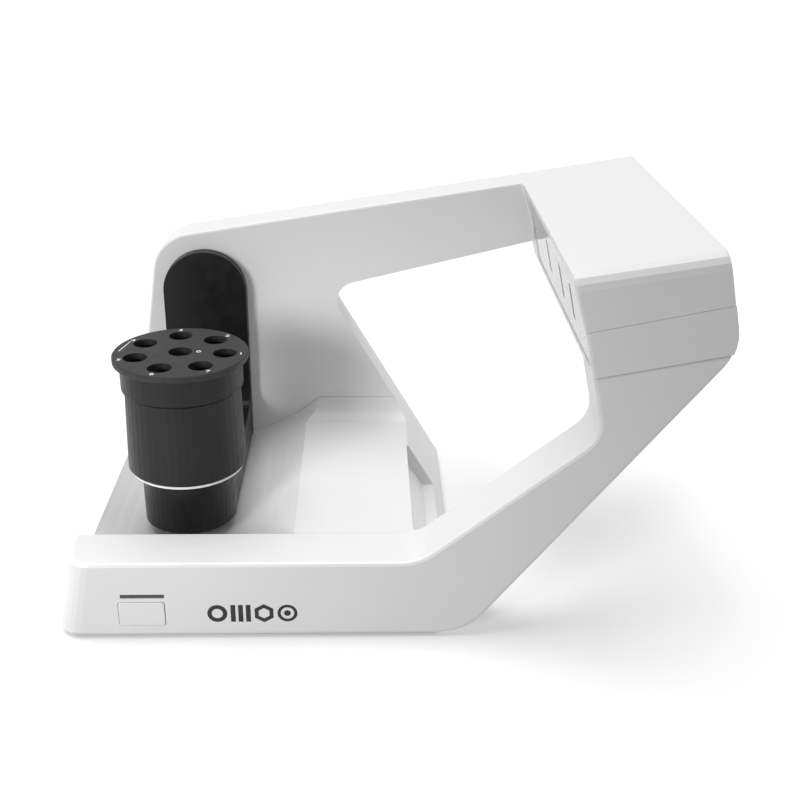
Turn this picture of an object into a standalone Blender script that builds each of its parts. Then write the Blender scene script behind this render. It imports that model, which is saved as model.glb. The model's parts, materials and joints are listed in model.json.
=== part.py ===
"""Desktop dental scanner: open frame body, optics head, swinging turntable arm and die tray.

Units are metres and +Z is up. The shapes are drawn in millimetres in a drawing frame that
starts at the lower left front corner of the housing, and are shifted so that the world
origin lies under the middle of the whole machine, at the level of the table.
"""
import math

import bmesh
import bpy
from mathutils import Matrix, Vector

MM = 0.001
FRAME_MIDDLE_X = 204.9
FRAME_MIDDLE_Y = 131.15
FOOT_HEIGHT = 2.5

# main frame
DEPTH = 263.0
WALL = 3.6
DECK_TOP = 52.5
LIP_TOP = 54.2
LIP_BACK = 38.2
REAR_WALL_FRONT = 230.4
COVE_RADIUS = 16.3
COVE_TOP = 68.8

# rounded elbow where the strut meets the head
ELBOW_X = 385.5
ELBOW_Z = 207.7
ELBOW_RADIUS = 31.0

# swing arm and turntable
SWING_X = 70.7
SWING_Z = 162.4
STAGE_Y = 94.3
TROUGH_RADIUS = 134.0
TROUGH_COVE = 6.5
ARM_HALF_WIDTH = 32.0
ARM_BOTTOM = 38.9
FOOT_TOP = 67.5
PLATE_FRONT = 220.4
PLATE_BACK = 229.9
DRUM_BOTTOM = 80.5
DRUM_TOP = 138.7
TRAY_BOTTOM = 139.0
TRAY_PLATE_BOTTOM = 158.3
TRAY_PLATE_TOP = 162.8
TRAY_RADIUS = 45.6
DIE_HOLE_RADIUS = 8.2
DIE_CIRCLE_RADIUS = 30.4
DIE_FIRST_ANGLE = -4.9

# gears of the swing drive
GEAR_MODULE = 1.0
SWING_TEETH = 48
PINION_TEETH = 12
GEAR_DISTANCE = 30.15
GEAR_FRONT = 241.0
GEAR_BACK = 246.0

# optics panel, tilted to look at the tray
PANEL_X = 325.2
PANEL_Z = 213.0
PANEL_SLOPE = 0.2236
PANEL_ANGLE = math.atan(PANEL_SLOPE)
EYE_WIDTH = 7.4
EYE_HEIGHT = 25.0
EYE_OFFSETS = {"left": 58.0, "center": 1.5, "right": -41.0}

parts = bpy.data.collections.new("parts")
cutters = bpy.data.collections.new("cutters")


def clear_scene():
    """Remove whatever the new file holds and link the two collections."""
    for item in list(bpy.data.objects):
        bpy.data.objects.remove(item, do_unlink=True)
    bpy.context.scene.collection.children.link(parts)
    bpy.context.scene.collection.children.link(cutters)
    bpy.context.scene.unit_settings.system = "METRIC"
    bpy.context.scene.unit_settings.length_unit = "METERS"


def world(x, y, z):
    """Turn drawing millimetres into world metres."""
    return Vector(((x - FRAME_MIDDLE_X) * MM, (y - FRAME_MIDDLE_Y) * MM, (z + FOOT_HEIGHT) * MM))


def material(name, color, roughness=0.5, metallic=0.0, alpha=1.0):
    """Make a Principled material, or return the one that exists."""
    found = bpy.data.materials.get(name)
    if found:
        return found
    made = bpy.data.materials.new(name)
    made.use_nodes = True
    shader = made.node_tree.nodes["Principled BSDF"]
    shader.inputs["Base Color"].default_value = (color[0], color[1], color[2], 1.0)
    shader.inputs["Roughness"].default_value = roughness
    shader.inputs["Metallic"].default_value = metallic
    shader.inputs["Alpha"].default_value = alpha
    return made


def store(name, mesh, surface=None, origin=None):
    """Turn a mesh in world metres into a named part, or into a cutter when it has no surface."""
    made = bpy.data.objects.new(name, mesh)
    if origin is not None:
        mesh.transform(Matrix.Translation(-origin))
        made.location = origin
    if surface is None:
        cutters.objects.link(made)
        made.display_type = "WIRE"
        made.hide_render = True
        return made
    parts.objects.link(made)
    mesh.materials.append(surface)
    mesh.shade_smooth()
    mesh.set_sharp_from_angle(angle=math.radians(35.0))
    return made


def corner_arc(before, corner, after, radius, steps):
    """Points of the arc that rounds one corner of a flat outline."""
    point = Vector(corner)
    back = (Vector(before) - point).normalized()
    ahead = (Vector(after) - point).normalized()
    half = 0.5 * back.angle(ahead)
    reach = radius / math.tan(half)
    middle = point + (back + ahead).normalized() * (radius / math.sin(half))
    start = point + back * reach - middle
    end = point + ahead * reach - middle
    sweep = math.atan2(start.x * end.y - start.y * end.x, start.dot(end))
    points = []
    for step in range(steps + 1):
        turn = Matrix.Rotation(sweep * step / steps, 2)
        points.append(tuple(middle + turn @ start))
    return points


def outline(corners, steps=5):
    """Turn corners given as (a, b) or (a, b, radius) into a list of points."""
    points = []
    count = len(corners)
    for index, corner in enumerate(corners):
        radius = corner[2] if len(corner) > 2 else 0.0
        if radius <= 0.0:
            points.append((corner[0], corner[1]))
            continue
        before = corners[index - 1][:2]
        after = corners[(index + 1) % count][:2]
        points.extend(corner_arc(before, corner[:2], after, radius, steps))
    return points


def inset(points, distance):
    """Move every side of a flat outline inwards by the same distance."""
    area = 0.0
    count = len(points)
    for index, point in enumerate(points):
        nxt = points[(index + 1) % count]
        area += point[0] * nxt[1] - nxt[0] * point[1]
    side = 1.0 if area > 0.0 else -1.0
    moved = []
    for index, point in enumerate(points):
        here = Vector(point)
        back = (here - Vector(points[index - 1])).normalized()
        ahead = (Vector(points[(index + 1) % count]) - here).normalized()
        normal_back = Vector((-back.y, back.x)) * side
        normal_ahead = Vector((-ahead.y, ahead.x)) * side
        bisector = (normal_back + normal_ahead).normalized()
        reach = distance / max(0.3, bisector.dot(normal_back))
        moved.append(tuple(here + bisector * reach))
    return moved


def arc(center_a, center_b, radius, first, last, steps):
    """Points on a circle between two angles in degrees."""
    points = []
    for step in range(steps + 1):
        angle = math.radians(first + (last - first) * step / steps)
        points.append((center_a + radius * math.cos(angle), center_b + radius * math.sin(angle)))
    return points


def circle(center_a, center_b, radius, steps=32):
    """Points of a full circle."""
    return arc(center_a, center_b, radius, 0.0, 360.0 * (steps - 1) / steps, steps - 1)


def plane_matrix(plane):
    """Matrix from a flat outline's (a, b, level) millimetres to world metres."""
    columns = {
        "XZ": (Vector((1, 0, 0)), Vector((0, 0, 1)), Vector((0, 1, 0))),
        "YZ": (Vector((0, 1, 0)), Vector((0, 0, 1)), Vector((1, 0, 0))),
        "XY": (Vector((1, 0, 0)), Vector((0, 1, 0)), Vector((0, 0, 1))),
    }[plane]
    turn = Matrix(columns).transposed().to_4x4()
    return Matrix.Translation(world(0.0, 0.0, 0.0)) @ turn @ Matrix.Scale(MM, 4)


def panel_matrix():
    """Matrix from (y, up, depth) millimetres on the tilted optics panel to world metres."""
    up = Vector((-math.sin(PANEL_ANGLE), 0.0, math.cos(PANEL_ANGLE)))
    depth = Vector((math.cos(PANEL_ANGLE), 0.0, math.sin(PANEL_ANGLE)))
    turn = Matrix((Vector((0, 1, 0)), up, depth)).transposed().to_4x4()
    return Matrix.Translation(world(PANEL_X, STAGE_Y, PANEL_Z)) @ turn @ Matrix.Scale(MM, 4)


def clean(mesh):
    """Weld the seams, merge flat neighbours and point the faces outwards."""
    bm = bmesh.new()
    bm.from_mesh(mesh)
    bmesh.ops.remove_doubles(bm, verts=bm.verts, dist=0.000002)
    bmesh.ops.dissolve_limit(bm, angle_limit=0.002, verts=bm.verts, edges=bm.edges)
    bmesh.ops.recalc_face_normals(bm, faces=bm.faces)
    bm.to_mesh(mesh)
    bm.free()


def extrude(name, points, matrix, low, high, surface=None, origin=None):
    """Extrude a flat outline between two levels with a filled 2D curve."""
    curve = bpy.data.curves.new(name, "CURVE")
    curve.dimensions = "2D"
    curve.fill_mode = "BOTH"
    curve.extrude = 0.5 * (high - low)
    strand = curve.splines.new("POLY")
    strand.points.add(len(points) - 1)
    for spot, (a, b) in zip(strand.points, points):
        spot.co = (a, b, 0.0, 1.0)
    strand.use_cyclic_u = True
    drawn = bpy.data.objects.new(name, curve)
    parts.objects.link(drawn)
    bpy.context.view_layer.update()
    graph = bpy.context.evaluated_depsgraph_get()
    mesh = bpy.data.meshes.new_from_object(drawn.evaluated_get(graph))
    bpy.data.objects.remove(drawn, do_unlink=True)
    mesh.name = name
    mesh.transform(matrix @ Matrix.Translation((0.0, 0.0, 0.5 * (low + high))))
    clean(mesh)
    return store(name, mesh, surface, origin)


def prism(name, points, plane, low, high, surface=None, origin=None):
    """Extrude a flat outline drawn in one of the main planes."""
    return extrude(name, points, plane_matrix(plane), low, high, surface, origin)


def block(name, x, y, z, surface=None, origin=None):
    """Make a box from its (low, high) limits."""
    bm = bmesh.new()
    bmesh.ops.create_cube(bm, size=1.0)
    size = Vector((x[1] - x[0], y[1] - y[0], z[1] - z[0])) * MM
    middle = world(0.5 * (x[0] + x[1]), 0.5 * (y[0] + y[1]), 0.5 * (z[0] + z[1]))
    bmesh.ops.transform(bm, matrix=Matrix.LocRotScale(middle, None, size), verts=bm.verts)
    mesh = bpy.data.meshes.new(name)
    bm.to_mesh(mesh)
    bm.free()
    return store(name, mesh, surface, origin)


def rod(name, center, radius, axis, low, high, surface=None, origin=None, steps=24):
    """Make a cylinder along one axis; center gives the two other coordinates."""
    plane = {"X": "YZ", "Y": "XZ", "Z": "XY"}[axis]
    middle = Matrix.Translation((center[0], center[1], 0.5 * (low + high)))
    bm = bmesh.new()
    bmesh.ops.create_cone(
        bm, cap_ends=True, segments=steps, radius1=radius, radius2=radius, depth=high - low,
        matrix=plane_matrix(plane) @ middle,
    )
    bmesh.ops.recalc_face_normals(bm, faces=bm.faces)
    mesh = bpy.data.meshes.new(name)
    bm.to_mesh(mesh)
    bm.free()
    return store(name, mesh, surface, origin)


def turned(name, profile, center, axis="Z", surface=None, origin=None, steps=48):
    """Turn a profile of (radius, level) points with a Screw modifier.

    A profile that starts and ends on the axis makes a solid; any other one is closed to a ring.
    """
    solid = profile[0][0] == 0.0 and profile[-1][0] == 0.0
    mesh = bpy.data.meshes.new(name)
    count = len(profile)
    edges = [(index, index + 1) for index in range(count - 1)]
    if not solid:
        edges.append((count - 1, 0))
    mesh.from_pydata([(radius * MM, 0.0, level * MM) for radius, level in profile], edges, [])
    drawn = bpy.data.objects.new(name, mesh)
    parts.objects.link(drawn)
    screw = drawn.modifiers.new("turn", "SCREW")
    screw.axis = "Z"
    screw.angle = 2.0 * math.pi
    screw.steps = steps
    screw.render_steps = steps
    screw.use_merge_vertices = True
    screw.merge_threshold = 0.00001
    screw.use_normal_calculate = True
    bpy.context.view_layer.update()
    graph = bpy.context.evaluated_depsgraph_get()
    shape = bpy.data.meshes.new_from_object(drawn.evaluated_get(graph))
    bpy.data.objects.remove(drawn, do_unlink=True)
    shape.name = name
    if axis == "Y":
        shape.transform(Matrix.Rotation(-0.5 * math.pi, 4, "X"))
        shape.transform(Matrix.Translation(world(center[0], 0.0, center[1])))
    else:
        shape.transform(Matrix.Translation(world(center[0], center[1], 0.0)))
    clean(shape)
    return store(name, shape, surface, origin)


def combine(target, tool, operation):
    """Add an exact Boolean modifier."""
    modifier = target.modifiers.new(tool.name, "BOOLEAN")
    modifier.operation = operation
    modifier.solver = "EXACT"
    modifier.object = tool
    return modifier


def cut(target, *tools):
    """Take every tool away from the target."""
    for tool in tools:
        combine(target, tool, "DIFFERENCE")


def join(target, *tools):
    """Add every tool to the target."""
    for tool in tools:
        combine(target, tool, "UNION")


def bake(target, merge=False):
    """Replace the mesh by what the modifiers make of it; merge tidies the flats of a join."""
    bpy.context.view_layer.update()
    graph = bpy.context.evaluated_depsgraph_get()
    mesh = bpy.data.meshes.new_from_object(target.evaluated_get(graph))
    target.modifiers.clear()
    target.data = mesh
    if merge:
        clean(mesh)


def soften(target, width, steps=2, angle=35.0, rule=None):
    """Round the edges; a rule gives each sharp edge its share of the width."""
    modifier = target.modifiers.new("rounding", "BEVEL")
    modifier.width = width * MM
    modifier.segments = steps
    modifier.use_clamp_overlap = rule is None
    if rule is None:
        modifier.limit_method = "ANGLE"
        modifier.angle_limit = math.radians(angle)
        return
    modifier.limit_method = "WEIGHT"
    mesh = target.data
    bm = bmesh.new()
    bm.from_mesh(mesh)
    name = "bevel_weight_edge"
    layer = bm.edges.layers.float.get(name) or bm.edges.layers.float.new(name)
    for edge in bm.edges:
        edge[layer] = 0.0
        if len(edge.link_faces) != 2:
            continue
        if edge.calc_face_angle() < math.radians(angle):
            continue
        ends = [target.matrix_world @ vert.co for vert in edge.verts]
        edge[layer] = rule(ends[0], ends[1])
    bm.to_mesh(mesh)
    bm.free()


def panel_prism(name, points, low, high, surface=None):
    """Extrude a (y, up) outline along the optics panel's normal."""
    return extrude(name, points, panel_matrix(), low, high, surface)


def panel_block(name, depth, y, up, surface=None):
    """Make a box in the tilted frame of the optics panel."""
    points = [(y[0], up[0]), (y[1], up[0]), (y[1], up[1]), (y[0], up[1])]
    return panel_prism(name, points, depth[0], depth[1], surface)


def slot_outline(center, width, height, steps=6):
    """Upright slot with round ends, as (y, up) points."""
    radius = 0.5 * width
    straight = 0.5 * height - radius
    points = arc(center, straight, radius, 0.0, 180.0, steps)
    points += arc(center, -straight, radius, 180.0, 360.0, steps)
    return points


def gear_outline(center_a, center_b, teeth, phase):
    """Simple gear with flat topped teeth and a little backlash."""
    pitch = 0.5 * GEAR_MODULE * teeth
    tip = pitch + 0.85 * GEAR_MODULE
    root = pitch - 1.15 * GEAR_MODULE
    step = 2.0 * math.pi / teeth
    points = []
    for tooth in range(teeth):
        middle = phase + tooth * step
        for share, radius in ((-0.33, root), (-0.13, tip), (0.13, tip), (0.33, root)):
            angle = middle + share * step
            points.append((center_a + radius * math.cos(angle), center_b + radius * math.sin(angle)))
    return points


def build_materials():
    """All surfaces of the machine."""
    surfaces = {
        "shell": material("white_shell", (0.83, 0.83, 0.84), 0.42),
        "cover": material("rear_cover_grey", (0.70, 0.70, 0.71), 0.50),
        "steel": material("base_plate_steel", (0.32, 0.33, 0.34), 0.45, 0.8),
        "rubber": material("foot_rubber", (0.03, 0.03, 0.03), 0.85),
        "black": material("arm_black", (0.025, 0.025, 0.027), 0.38),
        "drum": material("drum_black", (0.03, 0.03, 0.032), 0.5),
        "tray": material("tray_black", (0.045, 0.045, 0.048), 0.45),
        "ring": material("light_ring_white", (0.9, 0.9, 0.9), 0.3),
        "panel": material("optics_panel_gloss", (0.2, 0.2, 0.21), 0.15),
        "glass": material("lens_window_glass", (0.7, 0.75, 0.8), 0.05, 0.0, 0.35),
        "optics": material("optics_body_black", (0.05, 0.05, 0.055), 0.4),
        "lens": material("lens_barrel", (0.02, 0.02, 0.025), 0.25),
        "alu": material("bracket_aluminium", (0.7, 0.7, 0.72), 0.35, 1.0),
        "board": material("circuit_board", (0.02, 0.16, 0.07), 0.5),
        "motor": material("motor_steel", (0.25, 0.25, 0.26), 0.4, 0.8),
        "bright": material("bright_steel", (0.6, 0.6, 0.62), 0.25, 1.0),
        "brass": material("gear_brass", (0.75, 0.55, 0.2), 0.35, 1.0),
        "button": material("button_white", (0.80, 0.80, 0.81), 0.38),
        "bar": material("status_bar_smoke", (0.05, 0.05, 0.055), 0.2),
        "cable": material("cable_black", (0.02, 0.02, 0.02), 0.6),
        "port": material("port_plastic", (0.03, 0.03, 0.03), 0.5),
    }
    return surfaces


def left_side(z):
    """Drawing X of the sloping left side of the deck."""
    return 0.6 + 0.2036 * z


def lip_side(z):
    """Drawing X of the sloping left end of the front lip, which is a little longer than the deck."""
    return -7.0 + 0.19 * z


def slope_side(z):
    """Drawing X of the slope under the open window."""
    return 259.8 - 0.5924 * z


def trough_point(angle, radius):
    """Point of a circle about the swing axis, measured from straight down."""
    turn = math.radians(angle)
    return (SWING_X + radius * math.sin(turn), SWING_Z - radius * math.cos(turn))


def trough_arc(radius, first, last, steps):
    """Points of the trough circle between two angles from straight down."""
    return [trough_point(first + (last - first) * k / steps, radius) for k in range(steps + 1)]


def wall_outline(end):
    """Rear wall and top bar, ending at the head; end lists the points there."""
    points = [(10.4, 50.4)]
    points += outline([(10.4, 50.4), (34.6, 202.0, 32.0), (150.0, 220.5)], 8)[1:-1]
    points += end
    points += outline([(250.0, 182.96), (163.9, 161.9, 16.0), (200.0, 100.97)], 6)[1:-1]
    points += [(slope_side(69.1), 69.1)]
    points += trough_arc(TROUGH_RADIUS - TROUGH_COVE - 0.3, 42.82, -27.6, 20)[:-1]
    return points


def build_base(surfaces):
    """Front lip, strut, deck with the round trough, and the ledge under the rear wall."""
    corners = [
        (lip_side(0.0), 0.0),
        (lip_side(LIP_TOP), LIP_TOP),
        (228.9, LIP_TOP, 34.0),
        (340.8, 143.3, 20.0),
        (332.1, 182.1),
    ]
    corners += arc(ELBOW_X, ELBOW_Z, ELBOW_RADIUS, -18.9, -38.1, 2)
    corners += [(261.8, 0.0, 38.0)]
    front = outline(corners, 6)
    base = prism("base_housing", front, "XZ", 0.0, LIP_BACK, surfaces["shell"])

    def corner_rule(first, last):
        """Only the upright edge at the left of the front."""
        front_y = world(0.0, 0.5, 0.0).y
        left_end = max(first.x, last.x) < world(20.0, 0.0, 0.0).x
        upright = abs(first.z - last.z) > 0.03
        return 1.0 if left_end and upright and max(first.y, last.y) < front_y else 0.0

    def front_rule(first, last):
        """Full radius along the front and the left end, less at the back."""
        front_y = world(0.0, 16.0, 0.0).y
        return 1.0 if max(first.y, last.y) < front_y else 0.35

    soften(base, 15.0, 6, 35.0, corner_rule)
    bake(base)
    soften(base, 2.4, 2, 35.0, front_rule)
    bake(base)

    deck = outline([
        (left_side(0.0), 0.0, 2.0),
        (left_side(DECK_TOP), DECK_TOP, 2.5),
        (slope_side(DECK_TOP) + 0.3, DECK_TOP),
        (slope_side(0.0) + 0.3, 0.0, 3.0),
    ], 3)
    deck_tool = prism("deck_block", deck, "XZ", LIP_BACK - 0.8, DEPTH)
    soften(deck_tool, 1.0, 2)
    cove = [(REAR_WALL_FRONT - COVE_RADIUS, 40.0)]
    cove += arc(REAR_WALL_FRONT - COVE_RADIUS, COVE_TOP, COVE_RADIUS, -90.0, 0.0, 8)
    cove += [(DEPTH, COVE_TOP), (DEPTH, 40.0)]
    cove_tool = prism("cove_block", cove, "YZ", 110.0, 232.0)
    join(base, deck_tool, cove_tool)

    trough = [(0.0, LIP_BACK), (TROUGH_RADIUS, LIP_BACK)]
    trough += arc(TROUGH_RADIUS - TROUGH_COVE, REAR_WALL_FRONT - TROUGH_COVE, TROUGH_COVE, 0.0, 90.0, 4)
    trough += [(TROUGH_RADIUS - TROUGH_COVE, DEPTH + 4.0), (0.0, DEPTH + 4.0)]
    trough_tool = turned("trough_disc", trough, (SWING_X, SWING_Z), "Y", steps=96)
    slope = [(slope_side(80.0), 80.0), (slope_side(-4.0), -4.0), (300.0, -4.0), (300.0, 80.0)]
    slope_tool = prism("slope_trim", slope, "XZ", LIP_BACK + 0.2, DEPTH + 4.0)
    pocket = [(227.5, 60.0), (227.5, 38.0), (240.6, 18.0), (262.0, 18.0), (262.0, 60.0)]
    pocket_tool = prism("side_pocket", pocket, "XZ", 46.0, 174.0)

    hollow = [(left_side(-1.0) + WALL, -1.0), (10.7, 38.6)]
    hollow += trough_arc(TROUGH_RADIUS + WALL, -25.7, 34.4, 16)
    hollow += [(221.0, 49.0), (224.0, 36.5), (236.6, 14.6), (240.6, 14.6), (243.6, -1.0)]
    hollow_tool = prism("base_hollow", hollow, "XZ", WALL, DEPTH - WALL)
    ledge = [(150.0, 44.0)]
    ledge += trough_arc(TROUGH_RADIUS + WALL, 34.6, 45.1, 3)
    ledge += [(216.8, 65.2), (221.5, 56.0), (221.0, 44.0)]
    ledge_tool = prism("ledge_hollow", ledge, "XZ", REAR_WALL_FRONT + WALL, DEPTH - WALL)
    strut = [
        (262.5, 10.0), (200.0, 10.0), (200.0, 48.9), (228.2, 48.9),
        (336.5, 135.2), (341.9, 144.0), (341.3, 156.8), (333.8, 190.0),
        (333.8, 212.0), (405.8, 212.0), (405.8, 189.0),
    ]
    strut_tool = prism("strut_hollow", strut, "XZ", WALL, LIP_BACK - WALL)
    cable_slot = block("ledge_slot", (186.0, 208.0), (240.0, 255.0), (60.0, 75.0))
    button_hole = outline([(34.7, 7.6, 2.0), (65.3, 7.6, 2.0), (65.3, 25.8, 2.0), (34.7, 25.8, 2.0)], 3)
    button_tool = prism("button_hole", button_hole, "XZ", -3.0, 8.0)
    bar_tool = block("bar_hole", (36.9, 65.3), (-3.0, 8.0), (28.6, 31.5))
    socket_tool = block("socket_hole", (140.0, 216.0), (255.0, 268.0), (8.0, 36.0))
    cut(base, trough_tool, slope_tool, pocket_tool, hollow_tool, ledge_tool)
    cut(base, strut_tool, cable_slot, button_tool, bar_tool, socket_tool)
    return base


def build_bottom(surfaces):
    """Steel floor plate with board pillars, four rubber feet and the plate's screws."""
    plate = outline([
        (4.9, 4.2, 6.0), (242.2, 4.2, 2.0), (242.2, 258.8, 2.0), (4.9, 258.8, 2.0),
    ], 3)
    floor = prism("base_bottom_plate", plate, "XY", 0.0, 2.4, surfaces["steel"])
    spots = [(98.0, 64.0), (202.0, 64.0), (98.0, 146.0), (202.0, 146.0)]
    spots += [(146.0, 176.0), (206.0, 176.0), (146.0, 212.0), (206.0, 212.0)]
    for index, (x, y) in enumerate(spots):
        join(floor, rod("pillar_%d" % index, (x, y), 3.0, "Z", 1.0, 5.7, steps=12))
    corners = {
        "front_left": (26.0, 26.0), "front_right": (232.0, 26.0),
        "rear_left": (26.0, 238.0), "rear_right": (232.0, 238.0),
    }
    for name, (x, y) in corners.items():
        profile = [(0.0, -FOOT_HEIGHT), (8.0, -FOOT_HEIGHT), (9.0, -1.5), (9.0, -0.2), (0.0, -0.2)]
        turned("foot_" + name, profile, (x, y), "Z", surfaces["rubber"], steps=24)
    return floor


def build_upper(surfaces):
    """Rear wall, top bar and head cap in one moulding."""
    end = [(314.9, 246.9), (322.0, 240.0), (331.0, 222.0), (325.2, 211.7), (327.4, 202.0)]
    upper = prism("upper_housing", wall_outline(end), "XZ", REAR_WALL_FRONT, DEPTH, surfaces["shell"])
    cap = [(325.2, 211.7), (412.4, 229.3), (405.1, 261.3), (314.9, 246.9)]
    join(upper, prism("cap_block", cap, "XZ", 0.0, DEPTH))
    bake(upper, True)

    def brow_rule(first, last):
        """Big radius along the head's front top edge only."""
        front_y = world(0.0, 0.5, 0.0).y
        at_front = first.y < front_y and last.y < front_y
        return 1.0 if at_front and min(first.z, last.z) > 0.24 else 0.0

    def upper_rule(first, last):
        """Small radius on every edge except along the seams below and round the large opening."""
        seam = max(first.z, last.z) < world(0.0, 0.0, 231.0).z and min(first.x, last.x) > 0.1
        foot = max(first.z, last.z) < world(0.0, 0.0, 70.0).z
        corner = world(170.0, 0.0, 212.0)
        opening = min(first.x, last.x) > corner.x and max(first.z, last.z) < corner.z
        return 0.0 if seam or foot or opening else 1.0

    soften(upper, 10.7, 4, 35.0, brow_rule)
    bake(upper)
    soften(upper, 1.5, 2, 35.0, upper_rule)
    bake(upper)

    visible = wall_outline([(314.6, 246.8), (327.4, 202.0)])
    hollow_tool = prism("wall_hollow", inset(visible, WALL), "XZ", REAR_WALL_FRONT + WALL, DEPTH + 3.0)
    cap_hollow = [(321.8, 243.2), (330.6, 205.0), (410.3, 222.0), (402.0, 256.2)]
    cap_tool = prism("cap_hollow", cap_hollow, "XZ", WALL, DEPTH - WALL)
    passage = block("head_passage", (308.0, 332.0), (240.0, 255.0), (222.0, 236.0))
    cut(upper, hollow_tool, cap_tool, passage, panel_opening())
    cut(upper, bpy.data.objects["ledge_slot"])

    collar = rod("bearing_boss", (SWING_X, SWING_Z), 15.0, "Y", REAR_WALL_FRONT + 2.0, 239.9, steps=40)
    bore = rod("bearing_bore", (SWING_X, SWING_Z), 11.3, "Y", REAR_WALL_FRONT - 2.0, 243.0, steps=40)
    join(upper, collar)
    cut(upper, bore)
    for index, (x, z) in enumerate(cover_screws()):
        join(upper, rod("cover_boss_%d" % index, (x, z), 4.2, "Y", REAR_WALL_FRONT + 2.0, 260.0, steps=16))
        cut(upper, rod("cover_bore_%d" % index, (x, z), 1.6, "Y", 248.0, 262.0, steps=12))
    return upper


def cover_screws():
    """Where the rear cover is screwed down."""
    return [(28.0, 84.0), (50.0, 184.0), (164.0, 98.0), (200.0, 183.0), (298.0, 217.0)]


def panel_opening():
    """Tool for the tall opening in the head that the optics panel closes."""
    found = bpy.data.objects.get("panel_opening")
    if found:
        return found
    return panel_block("panel_opening", (-6.0, 7.5), (8.0 - STAGE_Y, 229.0 - STAGE_Y), (-26.5, 29.2))


def build_rear_cover(surfaces):
    """Flat cover over the hollow wall, with its countersunk screws."""
    visible = wall_outline([(314.6, 246.8), (327.4, 202.0)])
    shape = inset(visible, WALL + 0.35)
    cover = prism("rear_cover", shape, "XZ", 260.3, 262.7, surfaces["cover"])
    for index, (x, z) in enumerate(cover_screws()):
        cut(cover, rod("cover_hole_%d" % index, (x, z), 1.8, "Y", 259.0, 264.0, steps=12))
        cut(cover, rod("cover_seat_%d" % index, (x, z), 3.2, "Y", 261.2, 264.0, steps=16))
        profile = [(0.0, 249.0), (1.3, 249.0), (1.3, 261.5), (2.9, 261.5), (2.9, 262.6), (1.2, 262.6)]
        profile += [(1.0, 261.9), (0.0, 261.9)]
        turned("cover_screw_%d" % (index + 1), profile, (x, z), "Y", surfaces["bright"], steps=16)
    for row in range(5):
        z = 96.0 + 8.0 * row
        cut(cover, block("vent_%d" % row, (60.0, 110.0), (258.0, 265.0), (z, z + 3.2)))
    return cover


def build_head_band(surfaces):
    """Middle band of the head: an open box between the two seams."""
    shape = [(332.0, 182.5)]
    shape += arc(ELBOW_X, ELBOW_Z, ELBOW_RADIUS, -18.1, 12.8, 6)
    shape += [(412.5, 229.0), (325.6, 211.45)]
    band = prism("head_band", shape, "XZ", 0.0, DEPTH, surfaces["shell"])

    def band_rule(first, last):
        """Round the upright edges and leave the seams nearly sharp."""
        flat = abs(first.z - last.z) < 0.02
        if flat:
            return 0.2
        return 1.0

    soften(band, 1.8, 2, 35.0, band_rule)
    bake(band)
    hollow = [(334.7, 186.6), (411.0, 200.9), (411.2, 212.0), (407.3, 235.0), (328.1, 216.0)]
    hollow_tool = prism("band_hollow", hollow, "XZ", WALL, DEPTH - WALL)
    well = block("strut_well", (352.0, 396.0), (9.0, 32.0), (178.0, 206.0))
    cut(band, hollow_tool, well, panel_opening())
    return band


def build_optics(surfaces):
    """Glossy panel, its three windows, and the cameras and projector behind it."""
    shape = outline([
        (8.3 - STAGE_Y, -26.2, 2.0), (228.7 - STAGE_Y, -26.2, 2.0),
        (228.7 - STAGE_Y, 28.9, 2.0), (8.3 - STAGE_Y, 28.9, 2.0),
    ], 3)
    panel = panel_prism("optics_panel", shape, 0.5, 2.9, surfaces["panel"])
    bracket = panel_block("optics_bracket", (6.6, 9.0), (-66.0, 84.0), (-21.0, 24.0), surfaces["alu"])
    for name, offset in EYE_OFFSETS.items():
        opening = slot_outline(offset, EYE_WIDTH, EYE_HEIGHT)
        cut(panel, panel_prism("eye_hole_" + name, opening, -2.0, 5.0))
        pane = slot_outline(offset, EYE_WIDTH - 0.6, EYE_HEIGHT - 0.6)
        panel_prism("window_" + name, pane, 0.9, 2.5, surfaces["glass"])
        barrel = circle(offset, 0.0, 9.4, 28)
        cut(bracket, panel_prism("lens_hole_" + name, circle(offset, 0.0, 9.8, 28), 4.0, 12.0))
        lens = panel_prism("lens_" + name, barrel, 3.4, 11.0, surfaces["lens"])
        cut(lens, panel_prism("lens_cup_" + name, circle(offset, 0.0, 7.0, 20), 2.0, 5.4))
    for name in ("left", "right"):
        offset = EYE_OFFSETS[name]
        shape = outline([
            (offset - 15.0, -15.0, 2.0), (offset + 15.0, -15.0, 2.0),
            (offset + 15.0, 15.0, 2.0), (offset - 15.0, 15.0, 2.0),
        ], 2)
        panel_prism("camera_" + name, shape, 11.4, 43.0, surfaces["optics"])
    offset = EYE_OFFSETS["center"]
    shape = outline([
        (offset - 22.0, -19.0, 2.0), (offset + 26.0, -19.0, 2.0),
        (offset + 26.0, 21.0, 2.0), (offset - 22.0, 21.0, 2.0),
    ], 2)
    panel_prism("projector", shape, 11.4, 66.0, surfaces["optics"])
    sensor = panel_block("ambient_sensor", (3.3, 6.3), (-24.0, -20.0), (-8.0, -4.0), surfaces["board"])
    return panel, bracket, sensor


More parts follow.
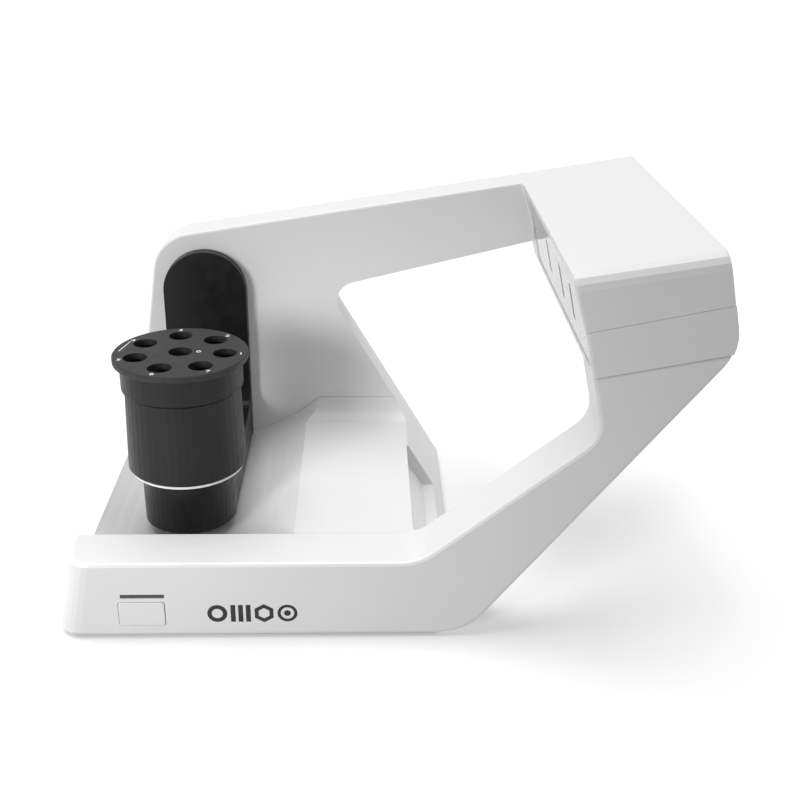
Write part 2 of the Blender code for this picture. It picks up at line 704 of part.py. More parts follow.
def build_front_controls(surfaces):
    """Push button with its spring and switch, and the status bar."""
    origin = world(50.0, 0.0, 16.7)
    shape = outline([(35.1, 8.0, 1.8), (64.9, 8.0, 1.8), (64.9, 25.4, 1.8), (35.1, 25.4, 1.8)], 3)
    button = prism("scan_button", shape, "XZ", -0.7, 2.8, surfaces["button"], origin)
    soften(button, 0.5, 2, 60.0)
    bake(button)
    stem = rod("button_stem", (50.0, 16.7), 2.0, "Y", 2.0, 8.1, steps=16)
    join(button, stem)
    board = block("switch_board", (40.0, 60.0), (12.6, 14.2), (9.0, 24.0), surfaces["board"])
    join(board, block("switch_body", (47.0, 53.0), (9.8, 13.0), (13.7, 19.7)))
    spring = bpy.data.curves.new("button_spring", "CURVE")
    spring.dimensions = "3D"
    spring.bevel_depth = 0.35 * MM
    spring.bevel_resolution = 1
    spring.use_fill_caps = True
    strand = spring.splines.new("POLY")
    turns = 4
    count = turns * 12
    strand.points.add(count)
    for step in range(count + 1):
        angle = 2.0 * math.pi * step / 12.0
        y = 3.5 + 8.7 * step / count
        x = 50.0 + 5.2 * math.cos(angle)
        z = 16.7 + 5.2 * math.sin(angle)
        spot = world(x, y, z) - origin
        strand.points[step].co = (spot.x, spot.y, spot.z, 1.0)
    coil = bpy.data.objects.new("button_spring", spring)
    coil.location = origin
    parts.objects.link(coil)
    spring.materials.append(surfaces["bright"])
    bar = block("status_bar", (37.2, 65.0), (0.3, 4.5), (28.9, 31.2), surfaces["bar"])
    return button, board, coil, bar


def build_electronics(surfaces):
    """Boards on the floor plate and the sockets at the back."""
    main = block("mainboard", (94.0, 206.0), (60.0, 150.0), (6.0, 7.6), surfaces["board"])
    chips = [((112.0, 130.0), (80.0, 98.0), (7.0, 10.5)), ((150.0, 162.0), (72.0, 84.0), (7.0, 9.5))]
    chips += [((172.0, 196.0), (100.0, 108.0), (7.0, 14.0)), ((120.0, 150.0), (128.0, 136.0), (7.0, 13.0))]
    for index, (x, y, z) in enumerate(chips):
        join(main, block("chip_%d" % index, x, y, z))
    driver = block("motor_driver_board", (142.0, 210.0), (172.0, 216.0), (6.0, 7.6), surfaces["board"])
    join(driver, block("driver_chip", (160.0, 172.0), (186.0, 198.0), (7.0, 10.0)))
    join(driver, block("driver_plug", (184.0, 202.0), (200.0, 208.0), (7.0, 14.0)))
    shape = outline([(140.4, 8.4, 2.0), (215.6, 8.4, 2.0), (215.6, 35.6, 2.0), (140.4, 35.6, 2.0)], 3)
    panel = prism("socket_panel", shape, "XZ", 260.2, 262.6, surfaces["port"])
    usb_hole = block("usb_hole", (150.0, 163.2), (258.0, 265.0), (16.0, 28.0))
    jack_hole = rod("jack_hole", (178.0, 22.0), 5.9, "Y", 258.0, 265.0, steps=24)
    rocker_hole = block("rocker_hole", (193.0, 206.0), (258.0, 265.0), (11.6, 32.4))
    cut(panel, usb_hole, jack_hole, rocker_hole)
    usb = block("usb_socket", (150.5, 162.7), (247.0, 262.9), (16.4, 27.6), surfaces["port"])
    cut(usb, block("usb_mouth", (152.2, 161.0), (252.0, 266.0), (18.0, 26.0)))
    tongue = block("usb_tongue", (154.6, 158.6), (250.0, 261.0), (20.6, 23.4))
    join(usb, tongue)
    jack = rod("power_jack", (178.0, 22.0), 5.5, "Y", 247.0, 262.9, surfaces["port"], steps=24)
    cut(jack, rod("jack_mouth", (178.0, 22.0), 3.2, "Y", 252.0, 266.0, steps=20))
    join(jack, rod("jack_pin", (178.0, 22.0), 0.9, "Y", 250.0, 261.0, steps=10))
    origin = world(199.5, 261.0, 22.0)
    face = outline([
        (257.4, 13.2), (262.2, 13.2), (261.4, 22.0), (263.2, 30.8), (257.4, 30.8),
    ])
    rocker = prism("power_rocker", face, "YZ", 193.8, 205.2, surfaces["port"], origin)
    return main, driver, panel, usb, jack, rocker


def build_swing_drive(surfaces):
    """Shaft, bearing, gears and motor behind the rear wall."""
    axis = world(SWING_X, PLATE_BACK, SWING_Z)
    shaft = rod("swing_shaft", (SWING_X, SWING_Z), 6.0, "Y", 223.6, 247.0, surfaces["bright"], axis, 28)
    profile = [(11.0, 231.2), (11.0, 239.6), (6.35, 239.6), (6.35, 231.2)]
    bearing = turned("swing_bearing", profile, (SWING_X, SWING_Z), "Y", surfaces["bright"], steps=36)
    wheel = gear_outline(SWING_X, SWING_Z, SWING_TEETH, -0.5 * math.pi)
    gear = prism("swing_gear", wheel, "XZ", GEAR_FRONT, GEAR_BACK, surfaces["brass"], axis)
    cut(gear, rod("gear_bore", (SWING_X, SWING_Z), 6.3, "Y", 238.0, 249.0, steps=28))
    pinion_z = SWING_Z - GEAR_DISTANCE
    pinion_axis = world(SWING_X, GEAR_FRONT, pinion_z)
    phase = 0.5 * math.pi + math.pi / PINION_TEETH
    teeth = gear_outline(SWING_X, pinion_z, PINION_TEETH, phase)
    span = (GEAR_FRONT - 0.4, GEAR_BACK + 0.4)
    pinion = prism("swing_pinion", teeth, "XZ", span[0], span[1], surfaces["bright"], pinion_axis)
    join(pinion, rod("pinion_shaft", (SWING_X, pinion_z), 1.6, "Y", 236.0, 252.0, steps=16))
    bracket = block("swing_motor_bracket", (44.0, 97.4), (248.2, 249.8), (108.0, 151.0), surfaces["alu"])
    cut(bracket, rod("bracket_hole", (SWING_X, pinion_z), 5.0, "Y", 246.0, 252.0, steps=24))
    shape = outline([
        (SWING_X - 17.5, pinion_z - 17.5, 3.0), (SWING_X + 17.5, pinion_z - 17.5, 3.0),
        (SWING_X + 17.5, pinion_z + 17.5, 3.0), (SWING_X - 17.5, pinion_z + 17.5, 3.0),
    ], 3)
    motor = prism("swing_motor", shape, "XZ", 250.1, 259.8, surfaces["motor"])
    cut(motor, rod("motor_bore", (SWING_X, pinion_z), 2.4, "Y", 248.0, 256.0, steps=16))
    return shaft, bearing, gear, pinion, bracket, motor


def build_arm(surfaces):
    """Arched back plate, foot and motor cup of the swing arm."""
    axis = world(SWING_X, PLATE_BACK, SWING_Z)
    left = SWING_X - ARM_HALF_WIDTH
    right = SWING_X + ARM_HALF_WIDTH
    arch = [(left, ARM_BOTTOM), (right, ARM_BOTTOM)]
    arch += arc(SWING_X, SWING_Z, ARM_HALF_WIDTH, 0.0, 180.0, 24)
    arm = prism("swing_arm", arch, "XZ", PLATE_FRONT, PLATE_BACK, surfaces["black"], axis)

    def rim_rule(first, last):
        """Wide chamfer round the front face of the plate only."""
        front_y = world(0.0, PLATE_FRONT + 0.5, 0.0).y
        if first.y < front_y and last.y < front_y and max(first.z, last.z) > world(0.0, 0.0, 45.0).z:
            return 1.0
        return 0.12

    soften(arm, 4.6, 2, 35.0, rim_rule)
    bake(arm)
    sole = ARM_BOTTOM + 0.4
    foot = [(STAGE_Y, sole), (PLATE_FRONT + 2.0, sole), (PLATE_FRONT + 2.0, FOOT_TOP + 14.0)]
    foot += [(PLATE_FRONT, FOOT_TOP + 14.0)]
    foot += arc(PLATE_FRONT - 14.0, FOOT_TOP + 14.0, 14.0, 0.0, -90.0, 6)[1:]
    foot += [(STAGE_Y, FOOT_TOP)]
    foot_tool = prism("arm_foot", foot, "YZ", left + 0.3, right - 0.3)
    soften(foot_tool, 1.6, 2)
    cup = [(0.0, ARM_BOTTOM), (31.0, ARM_BOTTOM), (ARM_HALF_WIDTH, ARM_BOTTOM + 1.0)]
    cup += [(ARM_HALF_WIDTH, 74.1), (31.6, 74.5), (0.0, 74.5)]
    cup_tool = turned("motor_cup", cup, (SWING_X, STAGE_Y), steps=48)
    join(arm, foot_tool, cup_tool)
    cut(arm, rod("cup_hollow", (SWING_X, STAGE_Y), 28.0, "Z", 42.0, 80.0, steps=48))
    cut(arm, rod("shaft_seat", (SWING_X, SWING_Z), 6.3, "Y", 223.2, 233.0, steps=28))
    return arm


def build_turntable(surfaces):
    """Motor in the cup, light ring, spindle, drum and the lift-off die tray."""
    center = (SWING_X, STAGE_Y)
    axis = world(SWING_X, STAGE_Y, 0.0)
    motor = turned("turntable_motor", [
        (0.0, 42.3), (24.0, 42.3), (24.0, 68.0), (9.0, 68.0), (9.0, 69.4), (4.4, 69.4), (4.4, 62.0),
        (0.0, 62.0),
    ], center, "Z", surfaces["motor"], steps=32)
    lid = turned("motor_cup_lid", [(10.2, 71.0), (27.6, 71.0), (27.6, 74.0), (10.2, 74.0)],
                 center, "Z", surfaces["black"], steps=40)
    bearing = turned("turntable_bearing", [(4.4, 71.2), (9.8, 71.2), (9.8, 77.6), (4.4, 77.6)],
                     center, "Z", surfaces["bright"], steps=24)
    ring = turned("light_ring", [
        (28.6, 74.8), (31.8, 74.8), (31.8, 78.0), (38.5, 78.0), (38.8, 78.3), (38.8, 79.7), (38.5, 80.0),
        (28.6, 80.0),
    ], center, "Z", surfaces["ring"], steps=48)
    spindle = turned("spindle", [(0.0, 62.4), (4.0, 62.4), (4.0, 126.0), (0.0, 126.0)],
                     center, "Z", surfaces["bright"], axis, 28)
    drum = turned("turntable_drum", [
        (37.6, DRUM_BOTTOM), (39.8, DRUM_BOTTOM), (41.0, DRUM_BOTTOM + 1.6), (39.2, DRUM_TOP - 0.8),
        (38.4, DRUM_TOP), (6.0, DRUM_TOP), (6.0, DRUM_TOP + 4.0), (0.0, DRUM_TOP + 4.0), (0.0, 127.0),
        (4.3, 127.0), (4.3, 82.0), (9.0, 82.0), (9.0, 130.0), (36.0, 130.0),
    ], center, "Z", surfaces["drum"], axis, 48)
    cup = turned("tray_cup", [
        (6.4, TRAY_BOTTOM), (40.4, TRAY_BOTTOM), (41.3, TRAY_BOTTOM + 0.9), (41.3, 157.6), (40.9, 158.0),
        (38.0, 158.0), (38.0, 147.0), (0.0, 147.0), (0.0, 143.4), (6.4, 143.4),
    ], center, "Z", surfaces["drum"], axis, 48)
    plate = turned("die_tray", [
        (0.0, TRAY_PLATE_BOTTOM), (TRAY_RADIUS - 0.6, TRAY_PLATE_BOTTOM), (TRAY_RADIUS, 158.9),
        (TRAY_RADIUS, 162.2), (TRAY_RADIUS - 0.6, TRAY_PLATE_TOP), (0.0, TRAY_PLATE_TOP),
    ], center, "Z", surfaces["tray"], axis, 56)
    holes = [(SWING_X, STAGE_Y)]
    for index in range(7):
        angle = math.radians(DIE_FIRST_ANGLE + index * 360.0 / 7.0)
        holes.append((
            SWING_X + DIE_CIRCLE_RADIUS * math.cos(angle),
            STAGE_Y + DIE_CIRCLE_RADIUS * math.sin(angle),
        ))
    for index, spot in enumerate(holes):
        cut(plate, rod("die_hole_%d" % index, spot, DIE_HOLE_RADIUS, "Z", 155.0, 166.0, steps=16))
    return motor, lid, bearing, ring, spindle, drum, cup, plate


def build_head_cable(surfaces):
    """Flat cable from the base through the wall and the bar into the head."""
    path = [(196.0, 247.5, 9.5), (196.0, 247.5, 76.0), (178.0, 247.5, 112.0), (142.0, 247.5, 170.0)]
    path += [(156.0, 247.5, 187.0), (300.0, 247.5, 230.0), (345.0, 247.5, 230.0), (352.0, 236.0, 226.0)]
    cable = bpy.data.curves.new("head_cable", "CURVE")
    cable.dimensions = "3D"
    cable.bevel_depth = 2.4 * MM
    cable.bevel_resolution = 1
    cable.use_fill_caps = True
    strand = cable.splines.new("POLY")
    strand.points.add(len(path) - 1)
    for index, (x, y, z) in enumerate(path):
        spot = world(x, y, z)
        strand.points[index].co = (spot.x, spot.y, spot.z, 1.0)
    made = bpy.data.objects.new("head_cable", cable)
    parts.objects.link(made)
    cable.materials.append(surfaces["cable"])
    return made


def main():
    """Build the whole machine."""
    clear_scene()
    surfaces = build_materials()
    build_base(surfaces)
    build_bottom(surfaces)
    build_upper(surfaces)
    build_rear_cover(surfaces)
    build_head_band(surfaces)
    build_optics(surfaces)
    build_front_controls(surfaces)
    build_electronics(surfaces)
    build_swing_drive(surfaces)
    build_arm(surfaces)
    build_turntable(surfaces)
    build_head_cable(surfaces)
    bpy.context.view_layer.update()


main()
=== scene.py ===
"""Looks of the desktop dental scanner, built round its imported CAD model."""
import json
import math

import bmesh
import bpy
from mathutils import Matrix, Vector

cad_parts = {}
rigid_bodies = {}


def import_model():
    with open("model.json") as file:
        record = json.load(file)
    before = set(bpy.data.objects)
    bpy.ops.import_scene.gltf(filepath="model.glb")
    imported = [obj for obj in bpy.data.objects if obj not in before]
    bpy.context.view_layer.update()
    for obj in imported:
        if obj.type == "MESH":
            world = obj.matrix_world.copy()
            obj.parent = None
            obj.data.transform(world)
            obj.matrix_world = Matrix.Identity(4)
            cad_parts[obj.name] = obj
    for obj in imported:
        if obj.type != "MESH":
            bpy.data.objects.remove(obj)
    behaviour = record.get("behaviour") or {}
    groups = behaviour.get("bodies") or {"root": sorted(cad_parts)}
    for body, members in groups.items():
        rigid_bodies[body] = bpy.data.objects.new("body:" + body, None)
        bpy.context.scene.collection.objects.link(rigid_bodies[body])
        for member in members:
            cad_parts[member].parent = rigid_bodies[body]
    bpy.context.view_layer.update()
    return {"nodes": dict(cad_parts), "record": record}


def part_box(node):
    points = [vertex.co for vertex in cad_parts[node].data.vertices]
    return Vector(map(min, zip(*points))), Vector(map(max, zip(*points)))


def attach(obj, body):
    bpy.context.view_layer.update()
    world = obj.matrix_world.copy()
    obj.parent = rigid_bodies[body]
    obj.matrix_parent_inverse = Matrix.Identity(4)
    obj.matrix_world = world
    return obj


MM = 0.001

# camera: where it stands and how it is turned, as in the photograph
CAMERA_PLACE = (-0.0088, -0.7512, 0.4489)
CAMERA_PITCH = 24.11
CAMERA_YAW = 1.89
CAMERA_ROLL = -0.73
CAMERA_LENS = 50.89
SENSOR_WIDTH = 36.0

# studio light; the levels are what a white face would show
HORIZON_LIGHT = 1.0
SKY_LIGHT = 0.62
GROUND_LIGHT = 0.85
FRONT_SHARE = 0.38
SUN_POWER = 1.75
SUN_SOFTNESS = 50.0
SUN_TURN = (-10.0, -6.0, 0.0)
KEY_POWER = 70.0
KEY_CONE = 32.0
KEY_RADIUS = 0.3
KEY_PLACE = (-0.9, -1.2, 0.5)
KEY_TARGET = (-0.12, 0.0, 0.06)
FLOOR_HALF = 30.0
FLOOR_GLOW = 0.08

# printed marks
INK_THICK = 0.00006
TRAY_LABEL_REACH = 0.0108
TRAY_LABEL_SIZE = 0.0048
SIGN_LEFT = 0.099
SIGN_MIDDLE = 0.0167
SIGN_HALF = 0.0065
SIGN_STEP = 0.0152


def make_camera():
    """Camera at the photograph's viewing angle, with no shift and no depth of field."""
    data = bpy.data.cameras.new("camera")
    data.lens = CAMERA_LENS
    data.sensor_width = SENSOR_WIDTH
    data.clip_start = 0.05
    data.clip_end = 50.0
    camera = bpy.data.objects.new("camera", data)
    turn = Matrix.Rotation(math.radians(-CAMERA_YAW), 4, "Z")
    tip = Matrix.Rotation(math.radians(90.0 - CAMERA_PITCH), 4, "X")
    roll = Matrix.Rotation(math.radians(-CAMERA_ROLL), 4, "Z")
    camera.matrix_world = Matrix.Translation(CAMERA_PLACE) @ turn @ tip @ roll
    bpy.context.scene.collection.objects.link(camera)
    bpy.context.scene.camera = camera


def make_world():
    """Pale surroundings: bright at the horizon, softer above, and dimmer towards the front."""
    world = bpy.data.worlds.new("studio")
    bpy.context.scene.world = world
    world.use_nodes = True
    nodes = world.node_tree.nodes
    links = world.node_tree.links
    place = nodes.new("ShaderNodeTexCoord")
    split = nodes.new("ShaderNodeSeparateXYZ")
    links.new(place.outputs["Generated"], split.inputs["Vector"])
    ramp = nodes.new("ShaderNodeValToRGB")
    links.new(split.outputs["Z"], ramp.inputs["Fac"])
    stops = ramp.color_ramp.elements
    stops[0].position = 0.0
    stops[0].color = (HORIZON_LIGHT, HORIZON_LIGHT, HORIZON_LIGHT, 1.0)
    stops[1].position = 0.35
    stops[1].color = (SKY_LIGHT, SKY_LIGHT, SKY_LIGHT, 1.0)
    above = nodes.new("ShaderNodeMath")
    above.operation = "GREATER_THAN"
    above.inputs[1].default_value = 0.0
    links.new(split.outputs["Z"], above.inputs[0])
    mix = nodes.new("ShaderNodeMix")
    mix.data_type = "RGBA"
    mix.inputs[6].default_value = (GROUND_LIGHT, GROUND_LIGHT, GROUND_LIGHT, 1.0)
    links.new(ramp.outputs["Color"], mix.inputs[7])
    links.new(above.outputs[0], mix.inputs[0])
    side = nodes.new("ShaderNodeMapRange")
    side.interpolation_type = "SMOOTHSTEP"
    side.inputs["From Min"].default_value = -0.8
    side.inputs["From Max"].default_value = 0.15
    side.inputs["To Min"].default_value = FRONT_SHARE
    side.inputs["To Max"].default_value = 1.0
    links.new(split.outputs["Y"], side.inputs["Value"])
    dim = nodes.new("ShaderNodeVectorMath")
    dim.operation = "SCALE"
    links.new(mix.outputs[2], dim.inputs[0])
    links.new(side.outputs["Result"], dim.inputs["Scale"])
    links.new(dim.outputs["Vector"], nodes["Background"].inputs["Color"])


def make_lights():
    """Broad soft sun overhead, and a soft spot from the front left that fades towards the head."""
    sun = bpy.data.lights.new("overhead", "SUN")
    sun.energy = SUN_POWER
    sun.angle = math.radians(SUN_SOFTNESS)
    lamp = bpy.data.objects.new("overhead", sun)
    lamp.rotation_euler = [math.radians(a) for a in SUN_TURN]
    bpy.context.scene.collection.objects.link(lamp)
    spot = bpy.data.lights.new("key", "SPOT")
    spot.energy = KEY_POWER
    spot.spot_size = math.radians(KEY_CONE)
    spot.spot_blend = 1.0
    spot.shadow_soft_size = KEY_RADIUS
    lamp = bpy.data.objects.new("key", spot)
    lamp.location = KEY_PLACE
    aim = Vector(KEY_TARGET) - Vector(KEY_PLACE)
    lamp.rotation_mode = "QUATERNION"
    lamp.rotation_quaternion = aim.to_track_quat("-Z", "Y")
    bpy.context.scene.collection.objects.link(lamp)


def make_floor():
    """Plain pale floor. The world gives the light that it would throw back."""
    bm = bmesh.new()
    bmesh.ops.create_grid(bm, x_segments=8, y_segments=8, size=FLOOR_HALF)
    mesh = bpy.data.meshes.new("floor")
    bm.to_mesh(mesh)
    bm.free()
    floor = bpy.data.objects.new("floor", mesh)
    bpy.context.scene.collection.objects.link(floor)
    paper = bpy.data.materials.new("floor_paper")
    paper.use_nodes = True
    shader = paper.node_tree.nodes["Principled BSDF"]
    shader.inputs["Base Color"].default_value = (0.95, 0.95, 0.95, 1.0)
    shader.inputs["Roughness"].default_value = 0.9
    shader.inputs["Specular IOR Level"].default_value = 0.2
    shader.inputs["Emission Color"].default_value = (1.0, 1.0, 1.0, 1.0)
    shader.inputs["Emission Strength"].default_value = FLOOR_GLOW
    mesh.materials.append(paper)
    floor.visible_diffuse = False


def make_studio():
    """Pale floor, pale world and soft lights."""
    bpy.context.scene.view_settings.view_transform = "Standard"
    make_world()
    make_lights()
    make_floor()


class Surface:
    """Small helper to build a Principled material from nodes."""

    def __init__(self, name, color, roughness, metallic=0.0):
        self.material = bpy.data.materials.new(name)
        self.material.use_nodes = True
        self.nodes = self.material.node_tree.nodes
        self.links = self.material.node_tree.links
        self.shader = self.nodes["Principled BSDF"]
        self.color = color
        self.roughness = roughness
        self.shader.inputs["Base Color"].default_value = (*color, 1.0)
        self.shader.inputs["Roughness"].default_value = roughness
        self.shader.inputs["Metallic"].default_value = metallic
        self.place = self.nodes.new("ShaderNodeTexCoord").outputs["Object"]

    def noise(self, scale, detail=2.0, stretch=None):
        """Noise of a given scale per metre, stretched along an axis when asked."""
        node = self.nodes.new("ShaderNodeTexNoise")
        node.inputs["Scale"].default_value = scale
        node.inputs["Detail"].default_value = detail
        source = self.place
        if stretch:
            shift = self.nodes.new("ShaderNodeMapping")
            shift.inputs["Scale"].default_value = stretch
            self.links.new(source, shift.inputs["Vector"])
            source = shift.outputs["Vector"]
        self.links.new(source, node.inputs["Vector"])
        return node.outputs["Fac"]

    def remap(self, value, low, high, first=0.3, last=0.7):
        """Map a noise value to a range."""
        node = self.nodes.new("ShaderNodeMapRange")
        node.inputs["From Min"].default_value = first
        node.inputs["From Max"].default_value = last
        node.inputs["To Min"].default_value = low
        node.inputs["To Max"].default_value = high
        self.links.new(value, node.inputs["Value"])
        return node.outputs["Result"]

    def tint(self, value, low, high):
        """Colour varies between two shares of the base colour."""
        node = self.nodes.new("ShaderNodeMix")
        node.data_type = "RGBA"
        node.inputs[6].default_value = (*[c * low for c in self.color], 1.0)
        node.inputs[7].default_value = (*[min(1.0, c * high) for c in self.color], 1.0)
        self.links.new(self.remap(value, 0.0, 1.0), node.inputs[0])
        self.links.new(node.outputs[2], self.shader.inputs["Base Color"])

    def vary_roughness(self, value, spread):
        """Roughness varies about its own value."""
        low = max(0.0, self.roughness - spread)
        high = min(1.0, self.roughness + spread)
        self.links.new(self.remap(value, low, high), self.shader.inputs["Roughness"])

    def bump(self, value, distance, strength=1.0):
        """Fine relief; distance is its depth in metres."""
        node = self.nodes.new("ShaderNodeBump")
        node.inputs["Strength"].default_value = strength
        node.inputs["Distance"].default_value = distance
        self.links.new(value, node.inputs["Height"])
        self.links.new(node.outputs["Normal"], self.shader.inputs["Normal"])


def moulded(name, color, roughness, grain=2600.0, depth=0.000012, spread=0.05, shade=0.03, gloss=0.5):
    """Moulded plastic: fine spark texture, faint cloudiness in colour and gloss."""
    made = Surface(name, color, roughness)
    made.shader.inputs["Specular IOR Level"].default_value = gloss
    made.tint(made.noise(38.0, 4.0), 1.0 - shade, 1.0 + shade)
    made.vary_roughness(made.noise(140.0, 3.0), spread)
    made.bump(made.noise(grain, 3.0), depth)
    return made


def machined(name, color, roughness, stretch, metallic=1.0):
    """Metal with fine tool marks drawn out along one axis."""
    made = Surface(name, color, roughness, metallic)
    made.tint(made.noise(60.0, 3.0), 0.96, 1.04)
    made.vary_roughness(made.noise(900.0, 3.0, stretch), 0.08)
    made.bump(made.noise(1800.0, 3.0, stretch), 0.000006)
    return made


def printed(name, color):
    """Matte printing ink with a slightly uneven film."""
    made = Surface(name, color, 0.6)
    made.tint(made.noise(700.0, 3.0), 0.93, 1.05)
    made.bump(made.noise(4000.0, 2.0), 0.000004)
    return made


def lens_glass(name):
    """Coated glass: very smooth, with a clear coat; its pale base colour is a painted reflection of the glints on
    dark glass.
    """
    # pale base colour: painted reflection, standing in for the bright glints on the dark glass windows
    made = Surface(name, (0.86, 0.88, 0.90), 0.05)
    made.tint(made.noise(25.0, 2.0), 0.985, 1.0)
    made.vary_roughness(made.noise(90.0, 2.0), 0.02)
    made.shader.inputs["Coat Weight"].default_value = 0.6
    made.shader.inputs["Coat Roughness"].default_value = 0.03
    return made


def build_materials():
    """One material for every slot of the record, and the inks of the marks."""
    made = {}
    made["white_shell"] = moulded("white_shell", (0.80, 0.80, 0.80), 0.40, spread=0.03, shade=0.006)
    made["rear_cover_grey"] = moulded("rear_cover_grey", (0.72, 0.72, 0.73), 0.52, shade=0.01)
    made["base_plate_steel"] = moulded("base_plate_steel", (0.20, 0.205, 0.21), 0.5, 1400.0, 0.00003)
    made["foot_rubber"] = moulded("foot_rubber", (0.025, 0.025, 0.025), 0.85, 1200.0, 0.00004)
    made["arm_black"] = moulded("arm_black", (0.006, 0.006, 0.006), 0.36, shade=0.05, gloss=0.30)
    made["drum_black"] = moulded("drum_black", (0.008, 0.008, 0.008), 0.42, shade=0.05, gloss=0.32)
    made["tray_black"] = moulded("tray_black", (0.026, 0.026, 0.028), 0.52, shade=0.04, gloss=0.35)
    made["light_ring_white"] = moulded("light_ring_white", (0.88, 0.88, 0.88), 0.30, shade=0.01)
    made["optics_panel_gloss"] = moulded("optics_panel_gloss", (0.42, 0.42, 0.43), 0.12, spread=0.02, shade=0.01)
    made["lens_window_glass"] = lens_glass("lens_window_glass")
    made["optics_body_black"] = moulded("optics_body_black", (0.02, 0.02, 0.022), 0.45)
    made["lens_barrel"] = moulded("lens_barrel", (0.012, 0.012, 0.014), 0.3)
    made["bracket_aluminium"] = machined("bracket_aluminium", (0.66, 0.66, 0.68), 0.38, (1.0, 0.05, 1.0))
    made["circuit_board"] = moulded("circuit_board", (0.015, 0.12, 0.05), 0.45, 900.0, 0.00002)
    made["motor_steel"] = machined("motor_steel", (0.12, 0.12, 0.125), 0.42, (1.0, 1.0, 0.05), 0.7)
    made["bright_steel"] = machined("bright_steel", (0.62, 0.62, 0.64), 0.24, (1.0, 0.05, 1.0))
    made["gear_brass"] = machined("gear_brass", (0.72, 0.50, 0.20), 0.34, (1.0, 0.05, 1.0))
    made["button_white"] = moulded("button_white", (0.80, 0.80, 0.80), 0.36, spread=0.03, shade=0.006)
    made["status_bar_smoke"] = moulded("status_bar_smoke", (0.05, 0.05, 0.053), 0.25)
    made["cable_black"] = moulded("cable_black", (0.02, 0.02, 0.02), 0.6)
    made["port_plastic"] = moulded("port_plastic", (0.025, 0.025, 0.025), 0.5)
    made["ink_white"] = printed("ink_white", (0.80, 0.80, 0.80))
    made["ink_dark"] = printed("ink_dark", (0.012, 0.012, 0.013))
    return made


def dress_nodes(frame, surfaces):
    """Give every CAD node the procedural material of its slot."""
    for node in frame["nodes"].values():
        for slot in node.material_slots:
            name = slot.material.name.split(".")[0]
            if name in surfaces:
                slot.material = surfaces[name].material


def finish_piece(item, surface, body):
    """Link a piece, give it its ink and slot, and let it ride its body."""
    bpy.context.scene.collection.objects.link(item)
    item.data.materials.append(surface.material)
    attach(item, body)


def flat_sign(name, loops, thickness):
    """Flat filled sign from closed loops of points; an inner loop makes a hole."""
    curve = bpy.data.curves.new(name, "CURVE")
    curve.dimensions = "2D"
    curve.fill_mode = "BOTH"
    curve.extrude = thickness / 2.0
    for points in loops:
        spline = curve.splines.new("POLY")
        spline.points.add(len(points) - 1)
        for point, (x, y) in zip(spline.points, points):
            point.co = (x, y, 0.0, 1.0)
        spline.use_cyclic_u = True
    return bpy.data.objects.new(name, curve)


def ring_points(middle, radius, count, turn=0.0):
    """Evenly spaced points on a circle."""
    points = []
    for k in range(count):
        angle = turn + 2.0 * math.pi * k / count
        points.append((middle[0] + radius * math.cos(angle), middle[1] + radius * math.sin(angle)))
    return points


def bar_points(low, high):
    """Corners of an upright bar."""
    return [(low[0], low[1]), (high[0], low[1]), (high[0], high[1]), (low[0], high[1])]


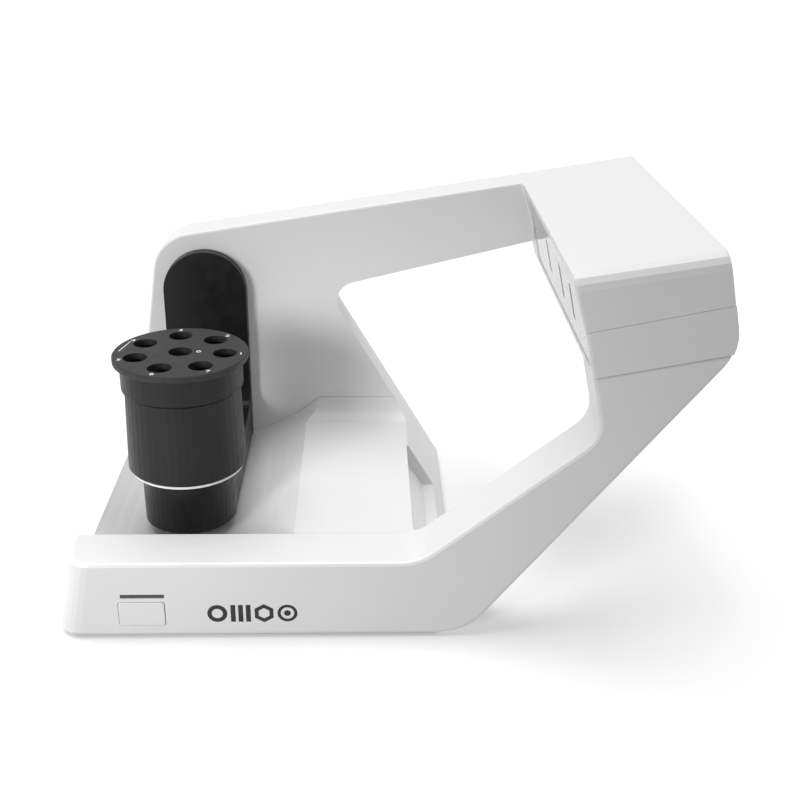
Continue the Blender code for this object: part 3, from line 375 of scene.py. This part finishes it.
def add_tray_marks(frame, surfaces):
    """Hole numbers and the line that marks the tray's starting side."""
    low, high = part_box("die_tray")
    top = high[2]
    middle = Vector(((low[0] + high[0]) / 2.0, (low[1] + high[1]) / 2.0, 0.0))
    holes = []
    for opening in frame["record"]["physics"]["openings"]:
        if opening["name"].startswith("die_hole"):
            first, last = opening["box_m"]
            holes.append(Vector(((first[0] + last[0]) / 2.0, (first[1] + last[1]) / 2.0, 0.0)))
    for number, hole in enumerate(holes):
        out = hole - middle
        if out.length < 0.005:
            spot = hole + Vector((TRAY_LABEL_REACH + 0.0015, 0.0, 0.0))
        else:
            spot = hole + out.normalized() * TRAY_LABEL_REACH
        text = bpy.data.curves.new("tray_number_%d" % number, "FONT")
        text.body = str(number)
        text.align_x = "CENTER"
        text.align_y = "CENTER"
        text.size = TRAY_LABEL_SIZE
        text.extrude = INK_THICK / 2.0
        text.offset = 0.00008
        item = bpy.data.objects.new(text.name, text)
        item.location = (spot.x, spot.y, top + INK_THICK / 2.0)
        item.scale = (1.35, 1.0, 1.0)
        finish_piece(item, surfaces["ink_white"], "tray_group")
    chord = flat_sign("tray_start_line", [bar_points((-0.0095, -0.00035), (0.0095, 0.00035))], INK_THICK)
    reach = (high[0] - low[0]) / 2.0 - 0.0052
    angle = math.radians(166.0)
    chord.location = (middle.x + reach * math.cos(angle), middle.y + reach * math.sin(angle), top + INK_THICK / 2.0)
    chord.rotation_euler = (0.0, 0.0, angle + math.pi / 2.0)
    finish_piece(chord, surfaces["ink_white"], "tray_group")


def add_front_signs(frame, surfaces):
    """Row of plain signs on the front: lens, light stripes, block and target."""
    low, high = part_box("base_housing")
    front = low[1] - INK_THICK / 2.0
    left = low[0] + SIGN_LEFT
    height = low[2] + SIGN_MIDDLE
    half = SIGN_HALF
    signs = {
        "sign_lens": [ring_points((0.0, 0.0), half, 40), ring_points((0.0, 0.0), half * 0.56, 32)],
        "sign_stripes": [
            bar_points((-half, -half), (-half * 0.52, half)),
            bar_points((-half * 0.24, -half), (half * 0.24, half)),
            bar_points((half * 0.52, -half), (half, half)),
        ],
        "sign_block": [
            ring_points((0.0, 0.0), half * 1.08, 6, math.pi / 2.0),
            ring_points((0.0, 0.0), half * 0.62, 6, math.pi / 2.0),
        ],
        "sign_target": [
            ring_points((0.0, 0.0), half, 40),
            ring_points((0.0, 0.0), half * 0.68, 32),
            ring_points((0.0, 0.0), half * 0.34, 24),
        ],
    }
    for index, (name, loops) in enumerate(signs.items()):
        sign = flat_sign(name, loops, INK_THICK)
        sign.location = (left + half + index * SIGN_STEP, front, height)
        sign.rotation_euler = (math.pi / 2.0, 0.0, 0.0)
        finish_piece(sign, surfaces["ink_dark"], "frame")


for item in list(bpy.data.objects):
    bpy.data.objects.remove(item, do_unlink=True)
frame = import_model()
make_camera()
make_studio()
surfaces = build_materials()
dress_nodes(frame, surfaces)
add_tray_marks(frame, surfaces)
add_front_signs(frame, surfaces)
